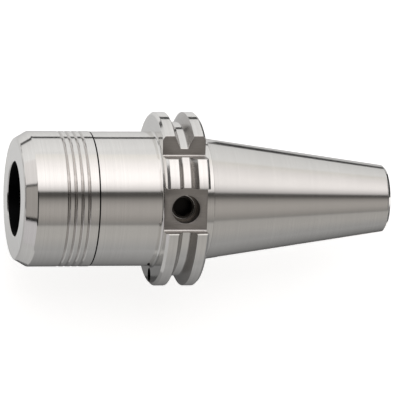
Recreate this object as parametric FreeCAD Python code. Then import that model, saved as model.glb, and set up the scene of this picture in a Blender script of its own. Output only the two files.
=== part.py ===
import FreeCAD, Part
import math
import os

# Collet chuck holder with a size 40 steep taper and a key-driven collet draw.
# Millimetres. The axis is X: the origin is on it at the gauge line, the taper
# points to +X and the nose to -X. The drive slot with the key hole faces +Z.

# Steep taper shank
gauge_dia = 44.45
taper_length = 68.4
taper_rate = 7.0 / 24.0
shank_end_chamfer = 1.0

# Pull stud end
stud_thread_minor_dia = 14.0
stud_thread_length = 25.0
stud_pilot_dia = 17.0
stud_pilot_depth = 7.0
stud_mouth_chamfer = 0.6
coolant_bore_dia = 9.0

# Flange
flange_dia = 63.55
flange_rear_gap = 3.2
flange_width = 15.9
flange_chamfer = 1.0
gripper_groove_setback = 11.1
gripper_groove_angle = 60.0
gripper_groove_depth = 3.65
gripper_groove_mouth = 7.07
neck_dia = 44.2

# Drive slots and orientation notch
slot_width = 16.1
key_slot_floor = 25.0
plain_slot_floor = 22.8
slot_corner_radius = 0.8
plain_slot_runout = 2.0
notch_wall = 18.5

# Balancing hole in the flange's front face
balance_hole_dia = 5.0
balance_hole_radius = 28.0
balance_hole_depth = 4.0
balance_hole_angle = 272.3

# Nose of the body and the screwed-in front sleeve
projection_length = 70.0
seam_setback = 42.6
nose_dia = 49.1
nose_root_fillet = 0.8
sleeve_dia = 49.4
seam_chamfer = 0.3
front_face_dia = 44.0
front_chamfer_angle = 30.0
front_face_blend = 1.3
grip_groove_count = 4
grip_groove_last = 3.9
grip_groove_pitch = 2.5
grip_groove_width = 0.75
grip_groove_depth = 0.6
sleeve_thread_step = 1.5
sleeve_thread_clearance = 0.05
thread_relief = 0.8
pilot_length = 3.0

# Collet seat
seat_mouth_dia = 27.4
seat_mouth_chamfer = 0.4
seat_half_angle = 8.0
seat_length = 20.0

# Draw tube
tube_dia = 20.0
tube_fit = 0.04
tube_front_setback = 25.0
tube_rear_reach = 22.1
tube_travel = 3.0
tube_end_space = 2.0
tube_chamfer = 0.6
collet_thread_dia = 16.0
collet_thread_length = 14.0
tube_inner_dia = 13.0
stop_screw_dia = 10.0
stop_thread_length = 12.0
tube_guide_share = 0.5

# Guide key that keeps the draw tube from turning
key_width = 4.0
key_length = 7.0
key_height = 4.0
key_depth_in_tube = 2.0
key_front_x = -4.0
key_clearance = 0.04
key_end_space = 0.3

# Bevel gearing
gear_module = 0.94
pinion_teeth = 8
ring_teeth = 28
pressure_angle = 20.0
profile_shift = 0.5
pinion_addendum = 1.25
pinion_dedendum = 0.75
ring_addendum = 0.45
ring_dedendum = 1.45
backlash = 0.2
tooth_inner_radius = 10.6
flank_steps = 4
ring_gear_rim = 0.35
ring_gear_fit = 0.1
tooth_embed = 0.25
tooth_end_gap = 0.2
tooth_inner_land = 0.3

# Pinion shaft and its retention
pinion_hole_dia = 10.3
pinion_lip_dia = 10.0
pinion_lip_height = 1.2
pinion_fit = 0.04
pinion_journal_length = 3.3
pinion_boss_dia = 8.3
pinion_boss_height = 1.0
hex_flats = 6.0
hex_depth = 4.6
hex_mouth_chamfer = 0.3
retainer_washer_thickness = 0.5
retainer_washer_gap = 0.05
snap_ring_thickness = 0.8
snap_ring_width = 1.0
snap_groove_depth = 0.3
snap_ring_gap_angle = 50.0
pinion_seal_section = 0.88
pinion_seal_height = 1.5

# Thrust bearing between the ring gear and the sleeve
bearing_washer_thickness = 1.55
bearing_gap = 2.0
ball_dia = 3.0
ball_count = 18
ball_circle_dia = 30.4
race_clearance = 0.03
bearing_inner_dia = 22.6
bearing_outer_reach = 4.1
bearing_outer_clearance = 0.2
cage_thickness = 0.9
cage_margin = 1.1
cage_pocket_clearance = 0.08

# Ring gear seat
hub_length = 4.55
thrust_washer_thickness = 0.8
shim_thickness = 0.3
axial_play = 0.05
chamber_clearance = 0.4
chamber_length = 11.7
gear_step_setback = 6.1

# Ring seals
nose_seal_section = 1.24
tube_seal_section = 1.32
seal_groove_slack = 0.16
nose_seal_setback = 1.6
front_wiper_setback = 3.6
tube_seal_place = 7.7

# Length stop screw
stop_screw_length = 8.0
stop_screw_fit = 0.05
stop_screw_end_gap = 1.0
stop_hex_flats = 5.0
stop_hex_depth = 4.5
stop_coolant_dia = 3.0
stop_seal_section = 1.0
stop_seal_setback = 2.0

# Places along the axis
sleeve_front = -projection_length
seam = -seam_setback
flange_rear = -flange_rear_gap
flange_front = flange_rear - flange_width
groove_centre = -gripper_groove_setback
shank_end = taper_length

# Radii that several pieces share
tube_radius = tube_dia / 2
bore_guide_radius = tube_radius + tube_fit
bearing_outer_radius = ball_circle_dia / 2 + bearing_outer_reach
pilot_bore_radius = bearing_outer_radius + bearing_outer_clearance
sleeve_thread_radius = pilot_bore_radius + sleeve_thread_step
body_counterbore_radius = pilot_bore_radius + ring_gear_fit
sleeve_pilot_radius = body_counterbore_radius - tube_fit

# Bevel cones: the pinion's axis crosses the main axis at the gripper groove
apex_x = groove_centre
pinion_pitch_radius = gear_module * pinion_teeth / 2
ring_pitch_radius = gear_module * ring_teeth / 2
cone_slope = pinion_teeth / ring_teeth
ring_root_slope = cone_slope + ring_dedendum * gear_module / ring_pitch_radius
ring_rim_radius = ring_pitch_radius + ring_gear_rim
ring_gear_back = apex_x - ring_root_slope * ring_pitch_radius
chamber_radius = ring_rim_radius + chamber_clearance
tooth_outer_radius = ring_pitch_radius - tooth_end_gap

# The thrust stack, from the step behind the ring gear forward to the sleeve's end
gear_step = apex_x - gear_step_setback
chamber_end = gear_step + chamber_length
shim_front = gear_step - shim_thickness
thrust_washer_front = shim_front - thrust_washer_thickness
hub_rear = thrust_washer_front - axial_play
gear_front = hub_rear - hub_length
rear_washer_front = gear_front - bearing_washer_thickness
front_washer_rear = rear_washer_front - bearing_gap
ball_plane = front_washer_rear + bearing_gap / 2
sleeve_end = front_washer_rear - bearing_washer_thickness
sleeve_thread_end = sleeve_end - pilot_length

# The collet seat, and the sleeve's guide bore in the room behind it
seat_end = sleeve_front + seat_length
sleeve_guide_front = sleeve_end - tube_guide_share * (sleeve_end - seat_end)

# The draw tube at rest, fully forward
tube_front = sleeve_front + tube_front_setback
tube_rear = groove_centre + tube_rear_reach
tube_bore_end = tube_rear + tube_travel + tube_end_space

# The pinion, by height above the main axis
pinion_seat = chamber_radius + pinion_lip_height
journal_bottom = pinion_seat + axial_play
journal_top = journal_bottom + pinion_journal_length
boss_top = journal_top + pinion_boss_height
retainer_washer_bottom = journal_top + retainer_washer_gap
snap_ring_bottom = retainer_washer_bottom + retainer_washer_thickness + retainer_washer_gap
snap_ring_top = snap_ring_bottom + snap_ring_thickness
pinion_hole_radius = pinion_hole_dia / 2
journal_radius = pinion_hole_radius - pinion_fit

along_x = FreeCAD.Vector(1, 0, 0)
along_z = FreeCAD.Vector(0, 0, 1)
origin = FreeCAD.Vector(0, 0, 0)


def axial_point(x, radius):
    """A point of a turned profile, at a place on the axis and a radius."""
    return FreeCAD.Vector(x, 0, radius)


def rounded_wire(corners):
    """A closed wire through corners (x, radius, corner round), with tangent arcs."""
    count = len(corners)
    edges = []
    starts = []
    ends = []
    arcs = []
    for i in range(count):
        before = axial_point(*corners[i - 1][:2])
        here = axial_point(*corners[i][:2])
        after = axial_point(*corners[(i + 1) % count][:2])
        rounding = corners[i][2] if len(corners[i]) > 2 else 0.0
        if rounding == 0.0:
            starts.append(here)
            ends.append(here)
            arcs.append(None)
            continue
        back = (before - here).normalize()
        ahead = (after - here).normalize()
        half = back.getAngle(ahead) / 2
        reach = rounding / math.tan(half)
        middle = (back + ahead).normalize()
        centre = here + middle * (rounding / math.sin(half))
        first = here + back * reach
        last = here + ahead * reach
        starts.append(first)
        ends.append(last)
        arcs.append(Part.Arc(first, centre - middle * rounding, last).toShape())
    for i in range(count):
        if arcs[i]:
            edges.append(arcs[i])
        following = starts[(i + 1) % count]
        if ends[i].distanceToPoint(following) > 1e-6:
            edges.append(Part.LineSegment(ends[i], following).toShape())
    return Part.Wire(edges)


def turned(corners, base=origin, axis=along_x):
    """A solid turned about an axis from a closed profile."""
    face = Part.Face(rounded_wire(corners))
    return face.revolve(base, axis, 360)


def bar(x_from, x_to, radius):
    """A round bar along the main axis."""
    return Part.makeCylinder(radius, x_to - x_from, FreeCAD.Vector(x_from, 0, 0), along_x)


def tube(x_from, x_to, inner_radius, outer_radius):
    """A plain ring along the main axis."""
    return bar(x_from, x_to, outer_radius).cut(bar(x_from, x_to, inner_radius))


def upright_bar(z_from, z_to, radius):
    """A round bar along the pinion's axis."""
    return Part.makeCylinder(radius, z_to - z_from, FreeCAD.Vector(apex_x, 0, z_from), along_z)


def upright_tube(z_from, z_to, inner_radius, outer_radius):
    """A plain ring about the pinion's axis."""
    return upright_bar(z_from, z_to, outer_radius).cut(upright_bar(z_from, z_to, inner_radius))


def block(x_from, x_to, y_from, y_to, z_from, z_to):
    """A box between three pairs of planes."""
    corner = FreeCAD.Vector(x_from, y_from, z_from)
    return Part.makeBox(x_to - x_from, y_to - y_from, z_to - z_from, corner)


def seal_ring(x_centre, mean_radius, section):
    """A round-section seal about the main axis."""
    return Part.makeTorus(mean_radius, section / 2, FreeCAD.Vector(x_centre, 0, 0), along_x)


def hex_bar(centre, direction, flats, length):
    """A hexagonal bar from a centre point, with a corner towards +Y."""
    corner_radius = flats / math.sqrt(3)
    corners = []
    for i in range(7):
        turn = math.radians(60 * i)
        across = math.cos(turn) * corner_radius
        aside = math.sin(turn) * corner_radius
        if direction == along_z:
            corners.append(centre + FreeCAD.Vector(aside, across, 0))
        else:
            corners.append(centre + FreeCAD.Vector(0, across, aside))
    face = Part.Face(Part.makePolygon(corners))
    return face.extrude(direction * length)


def taper_radius(x):
    """Radius of the steep taper at a place on the axis."""
    return gauge_dia / 2 - x * taper_rate / 2


def body_outside():
    """Shank, flange and nose of the body as one turned solid."""
    rim = flange_dia / 2
    groove_bottom = rim - gripper_groove_depth
    mouth_half = gripper_groove_mouth / 2
    flank_run = (rim - groove_bottom) * math.tan(math.radians(gripper_groove_angle / 2))
    bottom_half = mouth_half - flank_run
    end_radius = taper_radius(shank_end - shank_end_chamfer)
    corners = [
        (seam, 0),
        (seam, nose_dia / 2 - seam_chamfer),
        (seam + seam_chamfer, nose_dia / 2),
        (flange_front, nose_dia / 2, nose_root_fillet),
        (flange_front, rim - flange_chamfer),
        (flange_front + flange_chamfer, rim),
        (groove_centre - mouth_half, rim),
        (groove_centre - bottom_half, groove_bottom),
        (groove_centre + bottom_half, groove_bottom),
        (groove_centre + mouth_half, rim),
        (flange_rear - flange_chamfer, rim),
        (flange_rear, rim - flange_chamfer),
        (flange_rear, neck_dia / 2),
        (0, neck_dia / 2),
        (0, gauge_dia / 2),
        (shank_end - shank_end_chamfer, end_radius),
        (shank_end, end_radius - shank_end_chamfer),
        (shank_end, 0),
    ]
    return turned(corners)


def body_bore():
    """Everything turned out of the body's inside, as one solid to cut away."""
    thread_radius = sleeve_thread_radius + sleeve_thread_clearance
    bore_end = tube_bore_end
    thread_front = shank_end - stud_pilot_depth - stud_thread_length
    pilot_front = shank_end - stud_pilot_depth
    stud_radius = stud_thread_minor_dia / 2
    pilot_radius = stud_pilot_dia / 2
    corners = [
        (seam - 1, 0),
        (seam - 1, thread_radius),
        (sleeve_thread_end + thread_relief, thread_radius),
        (sleeve_thread_end + thread_relief, body_counterbore_radius),
        (gear_step, body_counterbore_radius),
        (gear_step, chamber_radius),
        (chamber_end, chamber_radius),
        (chamber_end, bore_guide_radius),
        (bore_end, bore_guide_radius),
        (bore_end, coolant_bore_dia / 2),
        (thread_front, coolant_bore_dia / 2),
        (thread_front, stud_radius),
        (pilot_front, stud_radius),
        (pilot_front, pilot_radius),
        (shank_end - stud_mouth_chamfer, pilot_radius),
        (shank_end + 1, pilot_radius + stud_mouth_chamfer + 1),
        (shank_end + 1, 0),
    ]
    return turned(corners)


def drive_slot(floor, x_from, x_to, side):
    """One drive slot to cut away, with round inner corners along its floor."""
    half = slot_width / 2
    top = flange_dia / 2 + 2
    slot = block(x_from, x_to, -half, half, floor, top)
    floor_edges = []
    for edge in slot.Edges:
        low = edge.BoundBox
        if low.XLength > 1 and abs(low.ZMin - floor) < 1e-6 and abs(low.ZMax - floor) < 1e-6:
            floor_edges.append(edge)
    slot = slot.makeFillet(slot_corner_radius, floor_edges)
    if side < 0:
        slot.rotate(origin, along_x, 180)
    return slot


def orientation_notch():
    """The right-angled notch through the flange between slot and side."""
    outside = flange_dia / 2 + 2
    return block(flange_front - 1, flange_rear + 1, notch_wall, outside, notch_wall, outside)


def balance_hole():
    """The blind drilled hole in the flange's front face."""
    turn = math.radians(balance_hole_angle)
    place_y = math.sin(turn) * balance_hole_radius
    place_z = math.cos(turn) * balance_hole_radius
    start = FreeCAD.Vector(flange_front, place_y, place_z)
    radius = balance_hole_dia / 2
    drilled = Part.makeCylinder(radius, balance_hole_depth, start, along_x)
    tip_start = start + along_x * balance_hole_depth
    tip = Part.makeCone(radius, 0, radius * math.tan(math.radians(30)), tip_start, along_x)
    return drilled.fuse(tip)


def pinion_passage():
    """The stepped radial hole for the pinion, with its snap ring groove."""
    top = flange_dia / 2
    lip = upright_bar(tube_radius, pinion_seat + 0.1, pinion_lip_dia / 2)
    hole = upright_bar(pinion_seat, top, pinion_hole_radius)
    groove_radius = pinion_hole_radius + snap_groove_depth
    groove = upright_bar(snap_ring_bottom - 0.05, snap_ring_top + 0.05, groove_radius)
    return lip.fuse([hole, groove])


def key_seat():
    """The keyway broached in the guide bore, open towards the gear chamber."""
    half = key_width / 2
    bottom = tube_radius - key_depth_in_tube + key_height
    return block(chamber_end - 1, key_front_x + key_length, -half, half, -bottom, -tube_radius / 2)


def tube_seal_groove(x_centre, section):
    """The groove for a seal that bears on the draw tube."""
    half = (section + seal_groove_slack) / 2
    depth_radius = bore_guide_radius + section + 0.02
    return bar(x_centre - half, x_centre + half, depth_radius)


def make_holder_body():
    """The one-piece body: shank, flange and nose, with its bores and slots."""
    body = body_outside().cut(body_bore())
    key_slot = drive_slot(key_slot_floor, flange_front - 1, flange_rear + 1, 1)
    plain_slot = drive_slot(plain_slot_floor, flange_front - plain_slot_runout, flange_rear + 1, -1)
    cuts = [
        key_slot,
        plain_slot,
        orientation_notch(),
        balance_hole(),
        pinion_passage(),
        key_seat(),
        tube_seal_groove(tube_seal_place, tube_seal_section),
    ]
    return body.cut(cuts)


def sleeve_outside():
    """Outside of the front sleeve with its thread spigot and pilot."""
    face_radius = front_face_dia / 2
    sleeve_radius = sleeve_dia / 2
    chamfer_run = (sleeve_radius - face_radius) / math.tan(math.radians(front_chamfer_angle))
    thread_radius = sleeve_thread_radius
    corners = [
        (sleeve_front, 0),
        (sleeve_front, face_radius, front_face_blend),
        (sleeve_front + chamfer_run, sleeve_radius, front_face_blend),
        (seam - seam_chamfer, sleeve_radius),
        (seam, sleeve_radius - seam_chamfer),
        (seam, thread_radius),
        (sleeve_thread_end, thread_radius),
        (sleeve_thread_end, sleeve_pilot_radius),
        (sleeve_end, sleeve_pilot_radius),
        (sleeve_end, 0),
    ]
    return turned(corners)


def sleeve_bore():
    """The collet taper and the guide bore behind it."""
    mouth_radius = seat_mouth_dia / 2
    end_radius = mouth_radius - seat_length * math.tan(math.radians(seat_half_angle))
    corners = [
        (sleeve_front - 1, 0),
        (sleeve_front - 1, mouth_radius + seat_mouth_chamfer + 1),
        (sleeve_front + seat_mouth_chamfer, mouth_radius),
        (seat_end, end_radius),
        (sleeve_guide_front, end_radius),
        (sleeve_guide_front, bore_guide_radius),
        (sleeve_end + 1, bore_guide_radius),
        (sleeve_end + 1, 0),
    ]
    return turned(corners)


def grip_grooves():
    """The ring grooves turned in the sleeve's outside."""
    rings = []
    outside = sleeve_dia / 2
    for i in range(grip_groove_count):
        centre = seam - grip_groove_last - i * grip_groove_pitch
        half = grip_groove_width / 2
        rings.append(tube(centre - half, centre + half, outside - grip_groove_depth, outside + 1))
    return rings


def make_nose_sleeve():
    """The front sleeve that holds the collet's taper seat."""
    sleeve = sleeve_outside().cut(sleeve_bore())
    seal_centre = sleeve_end - nose_seal_setback
    half = (nose_seal_section + seal_groove_slack) / 2
    bottom = sleeve_pilot_radius - nose_seal_section
    seal_groove = tube(seal_centre - half, seal_centre + half, bottom, sleeve_pilot_radius + 1)
    wiper_centre = sleeve_end - front_wiper_setback
    cuts = grip_grooves()
    cuts.append(seal_groove)
    cuts.append(tube_seal_groove(wiper_centre, tube_seal_section))
    return sleeve.cut(cuts)


def make_nose_seal():
    """Seal between the sleeve's pilot and the body."""
    mean_radius = sleeve_pilot_radius - nose_seal_section / 2
    return seal_ring(sleeve_end - nose_seal_setback, mean_radius, nose_seal_section)


def make_front_wiper():
    """Seal in the sleeve's guide bore that wipes the draw tube."""
    mean_radius = bore_guide_radius + tube_seal_section / 2
    return seal_ring(sleeve_end - front_wiper_setback, mean_radius, tube_seal_section)


def make_draw_tube_seal():
    """Seal in the body's guide bore round the draw tube."""
    mean_radius = bore_guide_radius + tube_seal_section / 2
    return seal_ring(tube_seal_place, mean_radius, tube_seal_section)


def make_draw_tube():
    """The tube that pulls the collet into its seat."""
    outside = turned([
        (tube_front, 0),
        (tube_front, tube_radius - tube_chamfer),
        (tube_front + tube_chamfer, tube_radius),
        (tube_rear - tube_chamfer, tube_radius),
        (tube_rear, tube_radius - tube_chamfer),
        (tube_rear, 0),
    ])
    thread_end = tube_front + collet_thread_length
    stop_thread_front = tube_rear - stop_thread_length
    inside = turned([
        (tube_front - 1, 0),
        (tube_front - 1, collet_thread_dia / 2),
        (thread_end, collet_thread_dia / 2),
        (thread_end + 1, tube_inner_dia / 2),
        (stop_thread_front, tube_inner_dia / 2),
        (stop_thread_front + 1, stop_screw_dia / 2 + stop_screw_fit),
        (tube_rear + 1, stop_screw_dia / 2 + stop_screw_fit),
        (tube_rear + 1, 0),
    ])
    half = key_width / 2 + key_clearance
    bottom = tube_radius - key_depth_in_tube - key_end_space
    front = key_front_x - tube_travel - key_end_space
    rear = key_front_x + key_length + key_end_space
    keyway = block(front, rear, -half, half, -tube_radius - 1, -bottom)
    return outside.cut([inside, keyway])


def make_guide_key():
    """The feather key in the body that the draw tube slides along."""
    half = key_width / 2
    top = tube_radius - key_depth_in_tube
    key = block(key_front_x, key_front_x + key_length, -half, half, -top - key_height, -top)
    return key


def involute(angle):
    """Involute function of a pressure angle in radians."""
    return math.tan(angle) - angle


def pinion_tooth_flank():
    """Radius and half angle along one pinion flank, for a pitch cone radius of one."""
    unit = 2.0 / pinion_teeth
    pressure = math.radians(pressure_angle)
    base = math.cos(pressure)
    tip = 1 + pinion_addendum * unit
    thickness = unit * (math.pi / 2 + 2 * profile_shift * math.tan(pressure))
    half_at_pitch = thickness / 2
    start = base
    flank = []
    for i in range(flank_steps + 1):
        radius = start + (tip - start) * i / flank_steps
        local = math.acos(min(1.0, base / radius))
        flank.append((radius, half_at_pitch + involute(pressure) - involute(local)))
    root = 1 - pinion_dedendum * unit
    flank.insert(0, (root, flank[0][1]))
    return flank


def pinion_section(height):
    """The pinion's toothed outline in the plane at a height above the main axis."""
    pitch = cone_slope * height
    flank = pinion_tooth_flank()
    points = []
    for tooth in range(pinion_teeth):
        middle = 2 * math.pi * (tooth + 0.5) / pinion_teeth
        outline = [(r, -a) for r, a in flank] + [(r, a) for r, a in reversed(flank)]
        for radius, angle in outline:
            along = apex_x - pitch * radius * math.cos(middle + angle)
            aside = pitch * radius * math.sin(middle + angle)
            points.append(FreeCAD.Vector(along, aside, height))
    points.append(points[0])
    return Part.makePolygon(points)


def make_drive_pinion():
    """The bevel pinion that the key turns, with its journal and hex socket."""
    sections = [pinion_section(tooth_inner_radius - 0.1), pinion_section(ring_pitch_radius)]
    toothed = Part.makeLoft(sections, True, True)
    neck_radius = pinion_lip_dia / 2 - 0.1
    neck = upright_bar(ring_pitch_radius, journal_bottom + 0.1, neck_radius)
    journal = upright_bar(journal_bottom, journal_top, journal_radius)
    boss = upright_bar(journal_top, boss_top, pinion_boss_dia / 2)
    pinion = toothed.fuse([neck, journal, boss])
    hex_bottom = boss_top - hex_depth
    socket = hex_bar(FreeCAD.Vector(apex_x, 0, hex_bottom), along_z, hex_flats, hex_depth + 1)
    mouth_radius = hex_flats / math.sqrt(3) + 0.05
    lead_start = FreeCAD.Vector(apex_x, 0, boss_top - hex_mouth_chamfer)
    lead_top = mouth_radius + hex_mouth_chamfer
    lead_bottom = mouth_radius - hex_mouth_chamfer
    lead_in = Part.makeCone(lead_bottom, lead_top, 2 * hex_mouth_chamfer, lead_start, along_z)
    seal_centre = journal_bottom + pinion_seal_height
    half = (pinion_seal_section + seal_groove_slack) / 2
    groove_bottom = journal_radius - pinion_seal_section
    seal_groove = upright_tube(seal_centre - half, seal_centre + half, groove_bottom, journal_radius + 1)
    return pinion.cut([socket, lead_in, seal_groove])


def make_pinion_seal():
    """Seal in the pinion's journal."""
    mean_radius = journal_radius - pinion_seal_section / 2
    centre = FreeCAD.Vector(apex_x, 0, journal_bottom + pinion_seal_height)
    return Part.makeTorus(mean_radius, pinion_seal_section / 2, centre, along_z)


def make_pinion_washer():
    """Washer between the pinion's journal and its snap ring."""
    bottom = retainer_washer_bottom
    inner = pinion_boss_dia / 2 + 0.05
    return upright_tube(bottom, bottom + retainer_washer_thickness, inner, journal_radius)


def make_pinion_snap_ring():
    """Open snap ring that keeps the pinion in its hole."""
    outer = pinion_hole_radius + snap_groove_depth - 0.05
    ring = upright_tube(snap_ring_bottom, snap_ring_top, outer - snap_ring_width, outer)
    half = outer * math.tan(math.radians(snap_ring_gap_angle / 2))
    opening = Part.makePolygon([
        FreeCAD.Vector(apex_x, 0, snap_ring_bottom - 1),
        FreeCAD.Vector(apex_x + 2 * half, 2 * outer, snap_ring_bottom - 1),
        FreeCAD.Vector(apex_x - 2 * half, 2 * outer, snap_ring_bottom - 1),
        FreeCAD.Vector(apex_x, 0, snap_ring_bottom - 1),
    ])
    gap = Part.Face(opening).extrude(along_z * (snap_ring_thickness + 2))
    return ring.cut(gap)


def ring_tooth_section(height):
    """The trapezoid of one ring gear tooth in the plane at a height above the axis."""
    size = gear_module * height / ring_pitch_radius
    slope = math.tan(math.radians(pressure_angle))
    pitch = math.pi * size
    pinion_thickness = size * (math.pi / 2 + 2 * profile_shift * slope)
    play = backlash * height / ring_pitch_radius
    half_at_pitch = (pitch - pinion_thickness - play) / 2
    tip = ring_addendum * size
    depth = ring_dedendum * size + tooth_embed
    pitch_x = apex_x - cone_slope * height
    half_tip = half_at_pitch - tip * slope
    half_root = half_at_pitch + depth * slope
    points = [
        FreeCAD.Vector(pitch_x + tip, -half_tip, height),
        FreeCAD.Vector(pitch_x + tip, half_tip, height),
        FreeCAD.Vector(pitch_x - depth, half_root, height),
        FreeCAD.Vector(pitch_x - depth, -half_root, height),
        FreeCAD.Vector(pitch_x + tip, -half_tip, height),
    ]
    return Part.makePolygon(points)


def make_ring_gear():
    """The bevel ring gear with the nut thread of the draw tube in its bore."""
    root_inner_radius = tooth_inner_radius - tooth_inner_land
    inner_root_x = apex_x - ring_root_slope * root_inner_radius
    hub_radius = pilot_bore_radius
    blank = turned([
        (gear_front, bore_guide_radius),
        (gear_front, hub_radius),
        (hub_rear, hub_radius),
        (hub_rear, ring_rim_radius),
        (ring_gear_back, ring_rim_radius),
        (ring_gear_back, ring_pitch_radius),
        (inner_root_x, root_inner_radius),
        (inner_root_x, bore_guide_radius),
    ])
    sections = [ring_tooth_section(tooth_inner_radius), ring_tooth_section(tooth_outer_radius)]
    first_tooth = Part.makeLoft(sections, True, True)
    teeth = []
    for i in range(ring_teeth):
        tooth = first_tooth.copy()
        tooth.rotate(origin, along_x, 360.0 * i / ring_teeth)
        teeth.append(tooth)
    return blank.fuse(teeth)


def race_groove(x_centre):
    """The ring-shaped space that the balls roll in."""
    radius = ball_dia / 2 + race_clearance
    return Part.makeTorus(ball_circle_dia / 2, radius, FreeCAD.Vector(x_centre, 0, 0), along_x)


def make_bearing_front_washer():
    """Race washer that bears on the sleeve's end."""
    washer = tube(sleeve_end, front_washer_rear, bearing_inner_dia / 2, bearing_outer_radius)
    return washer.cut(race_groove(ball_plane))


def make_bearing_rear_washer():
    """Race washer that turns with the ring gear."""
    washer = tube(rear_washer_front, gear_front, bearing_inner_dia / 2, bearing_outer_radius)
    return washer.cut(race_groove(ball_plane))


def ball_places():
    """Centres of the bearing balls."""
    places = []
    for i in range(ball_count):
        turn = 2 * math.pi * i / ball_count
        radius = ball_circle_dia / 2
        places.append(FreeCAD.Vector(ball_plane, math.cos(turn) * radius, math.sin(turn) * radius))
    return places


def make_bearing_balls():
    """The balls of the thrust bearing."""
    return Part.makeCompound([Part.makeSphere(ball_dia / 2, place) for place in ball_places()])


def make_ball_cage():
    """The flat cage that spaces the balls."""
    middle = ball_circle_dia / 2
    reach = ball_dia / 2 + cage_margin
    half = cage_thickness / 2
    cage = tube(ball_plane - half, ball_plane + half, middle - reach, middle + reach)
    pockets = []
    for place in ball_places():
        start = place - along_x * cage_thickness
        radius = ball_dia / 2 + cage_pocket_clearance
        pockets.append(Part.makeCylinder(radius, 2 * cage_thickness, start, along_x))
    return cage.cut(pockets)


def make_rear_thrust_washer():
    """Plain washer behind the ring gear's hub."""
    return tube(thrust_washer_front, shim_front, chamber_radius + 0.2, bearing_outer_radius)


def make_mesh_shim():
    """Shim that sets the depth of mesh of the bevel gears."""
    return tube(shim_front, gear_step, chamber_radius + 0.2, bearing_outer_radius)


def make_length_stop_screw():
    """Screw in the draw tube that stops the tool shank."""
    rear = tube_rear - stop_screw_end_gap
    front = rear - stop_screw_length
    screw = bar(front, rear, stop_screw_dia / 2)
    socket_start = FreeCAD.Vector(rear - stop_hex_depth, 0, 0)
    socket = hex_bar(socket_start, along_x, stop_hex_flats, stop_hex_depth + 1)
    channel = bar(front - 1, rear + 1, stop_coolant_dia / 2)
    seal_centre = front + stop_seal_setback
    half = (stop_seal_section + seal_groove_slack) / 2
    bottom = stop_screw_dia / 2 - stop_seal_section
    groove = tube(seal_centre - half, seal_centre + half, bottom, stop_screw_dia / 2 + 1)
    return screw.cut([socket, channel, groove])


def make_stop_screw_seal():
    """Seal round the length stop screw."""
    front = tube_rear - stop_screw_end_gap - stop_screw_length
    mean_radius = stop_screw_dia / 2 - stop_seal_section / 2
    return seal_ring(front + stop_seal_setback, mean_radius, stop_seal_section)


pieces = {
    "holder_body": make_holder_body,
    "nose_sleeve": make_nose_sleeve,
    "nose_seal": make_nose_seal,
    "front_wiper": make_front_wiper,
    "draw_tube": make_draw_tube,
    "draw_tube_seal": make_draw_tube_seal,
    "guide_key": make_guide_key,
    "length_stop_screw": make_length_stop_screw,
    "stop_screw_seal": make_stop_screw_seal,
    "ring_gear": make_ring_gear,
    "bearing_front_washer": make_bearing_front_washer,
    "bearing_rear_washer": make_bearing_rear_washer,
    "ball_cage": make_ball_cage,
    "bearing_balls": make_bearing_balls,
    "rear_thrust_washer": make_rear_thrust_washer,
    "mesh_shim": make_mesh_shim,
    "drive_pinion": make_drive_pinion,
    "pinion_seal": make_pinion_seal,
    "pinion_washer": make_pinion_washer,
    "pinion_snap_ring": make_pinion_snap_ring,
}

os.makedirs("parts", exist_ok=True)
for name, make in pieces.items():
    make().exportStep("parts/" + name + ".step")
    print(name)
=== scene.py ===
import math
import bpy
import bmesh
from mathutils import Matrix, Vector


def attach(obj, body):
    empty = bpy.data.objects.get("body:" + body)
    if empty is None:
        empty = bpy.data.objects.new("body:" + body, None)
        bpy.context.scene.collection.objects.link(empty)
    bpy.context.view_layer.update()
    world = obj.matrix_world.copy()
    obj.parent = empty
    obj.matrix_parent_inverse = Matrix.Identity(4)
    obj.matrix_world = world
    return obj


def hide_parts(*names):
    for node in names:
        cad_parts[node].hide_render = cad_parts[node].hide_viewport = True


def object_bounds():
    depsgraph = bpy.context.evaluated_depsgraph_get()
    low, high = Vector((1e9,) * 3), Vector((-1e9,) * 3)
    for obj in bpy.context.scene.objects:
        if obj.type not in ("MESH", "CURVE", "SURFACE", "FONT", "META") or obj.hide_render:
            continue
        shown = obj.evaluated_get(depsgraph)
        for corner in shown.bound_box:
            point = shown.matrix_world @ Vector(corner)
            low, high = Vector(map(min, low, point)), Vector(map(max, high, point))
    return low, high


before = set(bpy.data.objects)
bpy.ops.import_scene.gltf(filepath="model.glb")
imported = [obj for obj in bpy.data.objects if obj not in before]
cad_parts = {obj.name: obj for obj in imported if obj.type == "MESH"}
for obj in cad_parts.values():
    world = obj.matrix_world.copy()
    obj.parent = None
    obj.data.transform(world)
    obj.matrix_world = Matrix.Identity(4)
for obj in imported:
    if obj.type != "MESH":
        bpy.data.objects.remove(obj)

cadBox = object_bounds()
mm = 0.001
axisX = Vector((1, 0, 0))
fullTurn = 2 * math.pi
turnSteps = 288
weld = 1e-7              # metres within which two points are one


# Colours and nodes

def hexColour(text):
    values = []
    for i in (0, 2, 4):
        c = int(text[i:i + 2], 16) / 255
        values.append(c / 12.92 if c <= 0.04045 else ((c + 0.055) / 1.055) ** 2.4)
    return (*values, 1.0)


def addNode(tree, kind, settings=None, links=None):
    node = tree.nodes.new(kind)
    for key, value in (settings or {}).items():
        if isinstance(key, int) or (key in node.inputs and not hasattr(node, key)):
            node.inputs[key].default_value = value
        else:
            setattr(node, key, value)
    for key, source in (links or {}).items():
        tree.links.new(source, node.inputs[key])
    return node


def fillRamp(node, stops):
    ramp = node.color_ramp
    while len(ramp.elements) > 1:
        ramp.elements.remove(ramp.elements[-1])
    ramp.elements[0].position = stops[0][0]
    ramp.elements[0].color = stops[0][1]
    for place, colour in stops[1:]:
        ramp.elements.new(place).color = colour


def emptyMaterial(name):
    mat = bpy.data.materials.new(name)
    mat.use_nodes = True
    mat.node_tree.nodes.clear()
    return mat, mat.node_tree


# Materials: each starts from what the real surface is and how it was cut; some also carry painted
# shade or a painted highlight

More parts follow.
